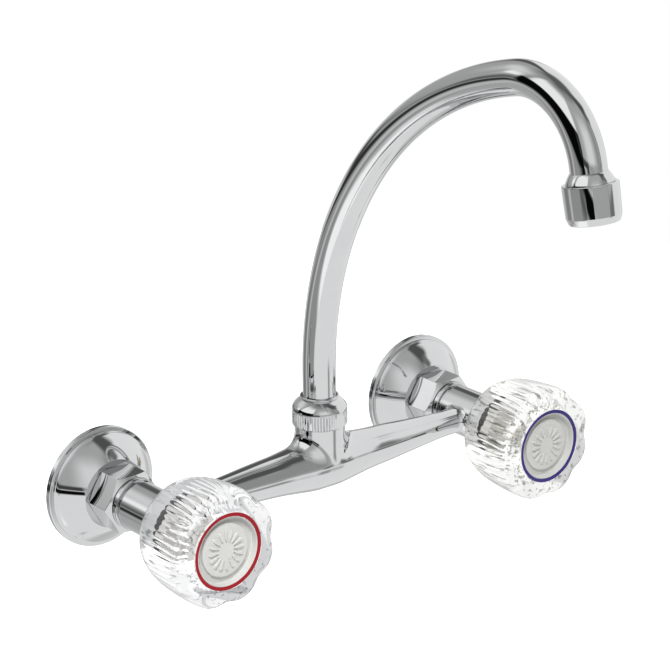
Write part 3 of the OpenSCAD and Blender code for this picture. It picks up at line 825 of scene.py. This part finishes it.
def make_aerator():
    """A plain cylinder that narrows a little, with a bevelled mouth."""
    start = BELL_TOP + 0.3
    end = start + 17.4
    thread_r, mouth_r, lip = 10.75, 9.2, 1.2
    outside = [(thread_r, start), (12.4, start), (12.6, start + 0.25), (12.55, start + 5),
               (12.3, end - 3.3), (12.15, end - 2.7), (11.25, end - 0.35), (10.9, end)]
    mouth = [(mouth_r, end), (mouth_r, end - lip), (thread_r, end - lip)]
    shell = turned("aerator_shell", outside + mouth, 144)
    settle(shell, tip_frame())
    dress(shell, 0.18, 3)
    fit(shell, "spout", "chrome", chrome, "aerator_housing")


# Knobs

LOBES = 8
KNOB_COLUMNS = LOBES * 6
LOBE_ANGLE = 360 / LOBES
COLUMN_ANGLE = 360 / KNOB_COLUMNS

# Cage of the outside. Each row: radius, distance from the back of the knob, and how deep the notches
# between the lobes are there, as a share of NOTCH.
KNOB_CAGE = ((22.9, 0, 0), (23.6, 0.05, 0), (24.4, 0.7, 0), (25.6, 2.4, 0), (27.1, 6.0, 0), (28.2, 11, 0),
             (29.0, 18, 0.03), (29.55, 25.5, 0.12), (29.65, 31, 0.45), (29.5, 34.2, 0.9), (28.6, 36.6, 1.0),
             (26.8, 37.8, 0.9), (24.6, 38.1, 0.45), (22.4, 38.1, 0), (20.6, 38.1, 0))
NOTCH = 2.9                                       # full depth of a notch
NOTCH_SHARES = ((0, 1.0), (1, 0.52), (2, 0.08))   # columns away from the middle of a notch

RING_SEAT_R, RING_SEAT = 19.25, 104.5
CAP_SEAT_R, CAP_SEAT = 18.0, 101.5
WEB, HOLLOW_R = 97.0, 20.2
SMOOTH_LEVELS = 3
RIB_COLUMNS = 2 ** SMOOTH_LEVELS                  # one rib for each column of the cage
RIB_SHARES = ((0, 1.0), (1, 0.85), (2, 0.45), (3, 0.12))
RIB_CUTS = ((78.1, 90, 0.18), (90.1, WEB + 0.5, 0.8))    # from, to, and depth of the ribs


def degrees_of(co):
    return math.degrees(math.atan2(co.y, co.x))


def cut_notches(shell, rows):
    """Presses the notches between the lobes into the cage."""
    close = 0.02 * MM
    for (r, t), (_, _, amount) in zip(rows, KNOB_CAGE):
        for step, share in NOTCH_SHARES if amount else ():
            def notch(co, r=r, t=t, step=step):
                turn = degrees_of(co) % LOBE_ANGLE
                away = min(turn, LOBE_ANGLE - turn)
                on_row = abs(co.z - t * MM) < close and abs(math.hypot(co.x, co.y) - r * MM) < close
                return on_row and abs(away - step * COLUMN_ANGLE) < 1

            pick(shell, notch)
            widen((r - NOTCH * amount * share) / r, t)


def sink_recess(shell):
    """Draws the front edge in: seats of ring and cap, screw hole, socket of the spindle, hollow back."""
    points = [v.co for v in shell.data.vertices]
    front = max(c.z for c in points)
    inner = min(math.hypot(c.x, c.y) for c in points if c.z > front - 1e-5)
    pick(shell, lambda co: co.z > front - 1e-5 and math.hypot(co.x, co.y) < inner + 1e-5)
    head_r, head_seat = 4.1, 99.4
    screw_r, screw_back = 2.2, 97.2
    socket_r, socket_back = 5.05, 85.6
    hub_r = 8.2
    seats = [(RING_SEAT_R, front / MM), (RING_SEAT_R, RING_SEAT), (CAP_SEAT_R, RING_SEAT),
             (CAP_SEAT_R, CAP_SEAT), (head_r, CAP_SEAT), (head_r, head_seat), (screw_r, head_seat),
             (screw_r, screw_back)]
    socket = [(socket_r, WEB), (socket_r, socket_back), (hub_r, socket_back),
              (hub_r + 0.4, socket_back + 0.4), (hub_r + 0.8, WEB - 1.0), (hub_r + 1.6, WEB)]
    hollow = [(HOLLOW_R - 1.0, WEB), (HOLLOW_R, WEB - 0.8), (HOLLOW_R + 0.2, 88), (HOLLOW_R + 0.4, 80),
              (HOLLOW_R + 0.6, 74), (HOLLOW_R + 1.2, 71.4), (HOLLOW_R + 1.9, KNOB_BACK)]
    pull(seats + socket + hollow, (inner / MM, front / MM))


def cut_ribs(shell):
    """Ribs on the wall of the hollow, deeper near the web."""
    for low, high, cut in RIB_CUTS:
        for step, share in RIB_SHARES:
            def column(co, low=low, high=high, step=step):
                r = math.hypot(co.x, co.y) / MM
                turn = degrees_of(co) / 360 * KNOB_COLUMNS * RIB_COLUMNS % RIB_COLUMNS
                away = min(turn, RIB_COLUMNS - turn)
                on_wall = HOLLOW_R - 1.2 < r < HOLLOW_R + 1.0 and low * MM < co.z < high * MM
                return on_wall and abs(away - step) < 0.3

            pick(shell, column)
            widen(1 + cut * share / HOLLOW_R)


def make_knob_shell():
    """Clear knob: a lobed cage smoothed by subdivision, then a turned recess and a ribbed hollow."""
    rows = [(r, KNOB_BACK + t) for r, t, _ in KNOB_CAGE]
    shell = ring(*rows[0], KNOB_COLUMNS)
    pull(rows[1:], rows[0])
    cut_notches(shell, rows)
    end_edit()
    apply(shell, "SUBSURF", levels=SMOOTH_LEVELS, render_levels=SMOOTH_LEVELS)
    start_edit(shell)
    bpy.ops.mesh.select_mode(type="VERT")
    sink_recess(shell)
    cut_ribs(shell)
    pick_open_edges(shell)
    bpy.ops.mesh.bridge_edge_loops()
    seal()
    shell.name = shell.data.name = "knob_shell"
    shade(shell, 38)
    return shell


def make_index_ring():
    """Coloured ring between the knob and its cap."""
    inner, outer, back, edge = 17.45, 19.2, RING_SEAT + 0.02, 0.3
    band = turned("index_ring", [(inner, back), (outer, back), (outer, KNOB_FRONT - edge)]
                  + arc(outer - edge, KNOB_FRONT - edge, edge, 0, 90, 4)[1:]
                  + arc(inner + edge, KNOB_FRONT - edge, edge, 90, 180, 4), 144)
    dress(band, 0)
    return band


def make_index_cap():
    """Grey cap with a raised disc and a sunburst of sixteen sunken petals."""
    wall_r, disc_r = 17.35, 13.2
    face = CAP_RIM - 2.0
    petals, across, rim_edge = 16, 8, 0.15
    tip_r, hub_r, petal_in, petal_depth = 10.2, 4.4, 0.18, 0.9
    around = petals * across
    cap = ring(wall_r, CAP_BACK, around)
    rim = [(wall_r, CAP_RIM - rim_edge), (wall_r - rim_edge, CAP_RIM), (wall_r - 0.45, CAP_RIM),
           (wall_r - 0.6, CAP_RIM - rim_edge)]
    moat = [(wall_r - 0.62, face - 1.4), (wall_r - 0.82, face - 1.6), (disc_r + 0.5, face - 1.6),
            (disc_r + 0.15, face - 1.4), (disc_r - 0.1, face - 0.08)]
    disc = [(r, face) for r in (disc_r - 0.4, 10.9, 10.5, 10.1, 9.4, 7.4, 5.6, 4.5, 4.2, 3.0, 0)]
    pull(rim + moat + disc, (wall_r, CAP_BACK))
    bpy.ops.mesh.select_mode(type="FACE")
    for i in range(petals):
        def petal(co, middle=i * across):
            r = math.hypot(co.x, co.y) / MM
            turn = degrees_of(co) / 360 * around - middle
            turn = (turn + around / 2) % around - around / 2
            half = 1 if r < 5.2 or r > 9.5 else 2
            return hub_r < r < tip_r and abs(turn) < half and co.z > (face - 0.05) * MM

        pick_faces(cap, petal)
        bpy.ops.mesh.inset(thickness=petal_in * MM, depth=-petal_depth * MM)
    bpy.ops.mesh.select_mode(type="VERT")
    pick_open_edges(cap)
    bpy.ops.mesh.edge_face_add()
    seal()
    cap.name = cap.data.name = "index_cap"
    shade(cap, 40)
    return cap


def make_knobs():
    """Both knobs with their rings and caps. The chrome doesn't reflect them: it would show as noise."""
    shell, band, cap = make_knob_shell(), make_index_ring(), make_index_cap()
    wear = {"hot": (clear_hot, "red_plastic", red), "cold": (clear_cold, "blue_plastic", blue)}
    for word, side in SIDES:
        clear, band_slot, colour = wear[word]
        parts = ((shell, "clear_knob", "clear_acrylic", clear, "knob"),
                 (band, "colour_ring", band_slot, colour, "index_ring"),
                 (cap, "sunburst_cap", "grey_plastic", cap_grey, "index_cap"))
        for spare, name, slot, material, node in parts:
            piece = twin(spare, word + "_" + name, outward(side))
            fit(piece, word + "_handle", slot, material, word + "_" + node)
            piece.visible_glossy = False
    for spare in (shell, band, cap):
        bpy.data.objects.remove(spare)


# Finishes of the CAD nodes. The small and hidden ones keep their shape.

PAIRED_FINISHES = {
    "shank": brass, "tailpiece": brass, "plunger": brass, "washer_screw": brass,
    "bonnet": nickel, "spindle": nickel,
    "union_washer": rubber, "bonnet_washer": rubber, "stem_seal": rubber, "seat_washer": rubber,
    "knob_screw": steel, "knob": clear_hot, "index_ring": red, "index_cap": cap_grey}
OTHER_FINISHES = {
    "friction_ring": nylon, "spout_ferrule": brass, "spout_orings": rubber,
    "aerator_gasket": rubber, "aerator_cartridge": nylon, "aerator_screen": steel,
    "cold_knob": clear_cold, "cold_index_ring": blue}


def finish_small_parts():
    """Gives every CAD node its finish. What is in neither list is chrome."""
    for name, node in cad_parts.items():
        part = name.split("_", 1)[1] if name.startswith(("hot_", "cold_")) else name
        material = OTHER_FINISHES.get(name) or PAIRED_FINISHES.get(part) or chrome
        node.data.materials.clear()
        node.data.materials.append(material)


# Floor, room and lamp

FLOOR_Z = -0.14
FLOOR_RADIUS = 0.8
FLOOR_SEEN, FLOOR_THROUGH = 0.78, 0.22    # glow that the camera sees, straight and through the acrylic
ROOM_LEVEL = 0.15                         # brightness where no panel is
VIEW_AZIMUTH = -127.0                     # from the faucet to the camera, seen from above, in degrees
DIFFUSE_LEVEL = 0.34                      # what the room gives to surfaces that aren't shiny
WHITE = 1.0
THROUGH_SHARE = 0.85                      # share of white behind the acrylic
LAMP_PLACE = Vector((-1.2, -1.44, 2.08))
LAMP_SIZE, LAMP_POWER = 0.96, 92          # metres and watts

# Soft panels and dark gaps round the faucet. Each row: middle of the panel in degrees to the right of
# the camera, half its width, softness of its sides, its lower edge and the softness of that, its upper
# edge and the softness of that, brightness.
PANELS = (
    (0, 180, 1, -90, 5, 0, 2, 1.0),
    (180, 32, 6, -70, 8, 6, 4, 0.66),
    (-64, 30, 4, -64, 5, -32, 2, 1.3),
    (-116, 38, 10, -44, 6, -10, 3, 0.52),
    (-68, 30, 5, -31, 3, -6, 3, 0.38),
    (-98, 4, 3, -24, 3, -14, 2, 0.70),
    (-122, 14, 5, -24, 4, -14, 3, 0.28),
    (-118, 21, 4, -12, 3, -1, 4, 0.04),
    (-143, 9, 4, -6, 2.5, 2, 2, 0.08),
    (-40, 95, 30, 44, 12, 82, 8, 0.36),
    (-60, 33, 3, 23, 2, 64, 12, 1.20),
    (-135, 38, 12, 3, 6, 64, 12, 0.48),
    (-122, 20, 14, 26, 10, 50, 10, 0.90),
    (-107, 7, 4, 16, 4, 30, 8, 1.25),
    (-106, 7, 3, 0, 2, 9, 4, 0.16),
    (26, 54, 5, 2, 2, 68, 6, 0.52),
    (18, 22, 14, 5, 3, 46, 14, 0.92),
    (-63, 36, 1.5, -8, 2.5, 23, 3, 0.003),
    (-39, 10, 4, -12, 2.5, -7, 2, 0.14),
    (-14, 14.5, 1, -9, 1.5, -2.5, 1, 0.003),
    (-15, 14, 3, -1.5, 1.5, 5, 2, 0.07),
    (-34, 5, 3, 4, 3, 20, 4, 0.05),
    (34, 34, 2, -6, 3, 2, 1, 0.50),
    (64, 9, 4, 2, 3, 48, 8, 0.38),
    (130, 46, 3, -4, 3, 60, 8, 1.03),
    (88, 18, 8, 42, 4, 70, 6, 0.11),
    (86, 7, 5, 34, 3, 46, 4, 0.20),
    (172, 5, 3, 2, 3, 14, 3, 0.5),
    (-177, 7, 4, 17, 3, 76, 10, 0.12),
    (68, 7, 4, -24, 3, -13, 3, 0.42),
    (76, 11, 4, -8, 2, -1, 2, 0.22),
    (-106, 5, 3, -9, 2, -3, 2, 0.04),
    (-92, 6, 3, -46, 3, -37, 3, 1.0),
    (-146, 6, 4, -20, 3, -13, 3, 0.95),
)
PANEL_WORDS = ("Middle", "Half", "Side Soft", "Low", "Low Soft", "High", "High Soft", "Level")


def studio_panel():
    """Mixes one panel into the brightness of the room by direction."""
    words = ("Room", "Azimuth", "Elevation") + PANEL_WORDS
    group, given, out = group_of("studio_panel", [(word, 0.0) for word in words], ["Room"])
    math_node = calculator(group)

    def edge(value, place, soft):
        """0 below place, 1 above it, with a soft step."""
        node = group.nodes.new("ShaderNodeMapRange")
        node.interpolation_type = "SMOOTHSTEP"
        group.links.new(value, node.inputs["Value"])
        group.links.new(math_node("SUBTRACT", place, soft), node.inputs["From Min"])
        group.links.new(math_node("ADD", place, soft), node.inputs["From Max"])
        return node.outputs["Result"]

    given = given.outputs
    apart = math_node("SUBTRACT", given["Azimuth"], given["Middle"])
    away = math_node("ABSOLUTE", math_node("WRAP", apart, 180, -180))
    beside = math_node("SUBTRACT", 1, edge(away, given["Half"], given["Side Soft"]))
    above = edge(given["Elevation"], given["Low"], given["Low Soft"])
    below = math_node("SUBTRACT", 1, edge(given["Elevation"], given["High"], given["High Soft"]))
    mask = math_node("MULTIPLY", beside, math_node("MULTIPLY", above, below))
    gain = math_node("MULTIPLY", mask, math_node("SUBTRACT", given["Level"], given["Room"]))
    group.links.new(math_node("ADD", given["Room"], gain), out.inputs["Room"])
    return group


def make_world():
    """The room: panels for what the chrome reflects, white for the camera and behind the acrylic."""
    world = bpy.data.worlds.new("soft_studio")
    bpy.context.scene.world = world
    world.use_nodes = True
    tree = world.node_tree
    add, link = tree.nodes.new, tree.links.new
    math_node = calculator(tree)
    place = add("ShaderNodeTexCoord")
    split = add("ShaderNodeSeparateXYZ")
    link(place.outputs["Generated"], split.inputs[0])
    degrees = 180 / math.pi
    turn = math_node("ARCTAN2", split.outputs["Y"], split.outputs["X"])
    azimuth = math_node("SUBTRACT", math_node("MULTIPLY", turn, degrees), VIEW_AZIMUTH)
    elevation = math_node("MULTIPLY", math_node("ARCSINE", split.outputs["Z"]), degrees)
    panel = studio_panel()
    room = None
    for row in PANELS:
        node = use(tree, panel, Room=ROOM_LEVEL, **dict(zip(PANEL_WORDS, row)))
        link(azimuth, node.inputs["Azimuth"])
        link(elevation, node.inputs["Elevation"])
        if room:
            link(room, node.inputs["Room"])
        room = node.outputs["Room"]
    path = add("ShaderNodeLightPath").outputs
    through = math_node("MULTIPLY", math_node("MINIMUM", path["Transmission Depth"], 1), THROUGH_SHARE)
    for share, seen_as in ((path["Is Diffuse Ray"], DIFFUSE_LEVEL), (through, WHITE),
                           (path["Is Camera Ray"], WHITE)):
        mix = add("ShaderNodeMix")
        link(share, mix.inputs["Factor"])
        link(room, mix.inputs["A"])
        mix.inputs["B"].default_value = seen_as
        room = mix.outputs["Result"]
    backdrop = tree.nodes["Background"]
    link(room, backdrop.inputs["Strength"])
    backdrop.inputs["Color"].default_value = (1, 1, 1, 1)


def make_floor():
    """Pale disc that takes the shadow. In the chrome, the room below the horizon stands for it."""
    deselect()
    bpy.ops.mesh.primitive_circle_add(vertices=96, radius=FLOOR_RADIUS, fill_type="NGON",
                                      location=(0, 0, FLOOR_Z))
    floor = bpy.context.object
    floor.name = "floor"
    floor.visible_glossy = False
    material, tree, bsdf = shader("pale_floor")
    bsdf.inputs["Base Color"].default_value = (0.80, 0.80, 0.80, 1)
    bsdf.inputs["Roughness"].default_value = 0.9
    bsdf.inputs["Specular IOR Level"].default_value = 0.1
    bsdf.inputs["Emission Color"].default_value = (1, 1, 1, 1)
    math_node = calculator(tree)
    path = tree.nodes.new("ShaderNodeLightPath").outputs
    through = math_node("MULTIPLY", path["Is Transmission Ray"], FLOOR_THROUGH)
    glow = math_node("MULTIPLY_ADD", path["Is Camera Ray"], FLOOR_SEEN, through)
    tree.links.new(glow, bsdf.inputs["Emission Strength"])
    floor.data.materials.append(material)


def make_lamp():
    """One large soft lamp above the camera's left shoulder."""
    data = bpy.data.lights.new("soft_lamp", "AREA")
    data.shape = "DISK"
    data.size = LAMP_SIZE
    data.energy = LAMP_POWER
    lamp = bpy.data.objects.new("soft_lamp", data)
    bpy.context.scene.collection.objects.link(lamp)
    aim = (-LAMP_PLACE).to_track_quat("-Z", "Y").to_matrix().to_4x4()
    lamp.matrix_world = Matrix.Translation(LAMP_PLACE) @ aim
    lamp.visible_glossy = False
    lamp.visible_transmission = False
    lamp.visible_camera = False


place_camera()
make_flanges()
make_union_nuts()
make_casting()
make_boss_thread()
make_barrels()
make_spout_nut()
make_spout_tube()
make_outlet()
make_aerator()
make_knobs()
finish_small_parts()
make_floor()
make_world()
make_lamp()

bpy.context.scene.view_settings.view_transform = "Standard"
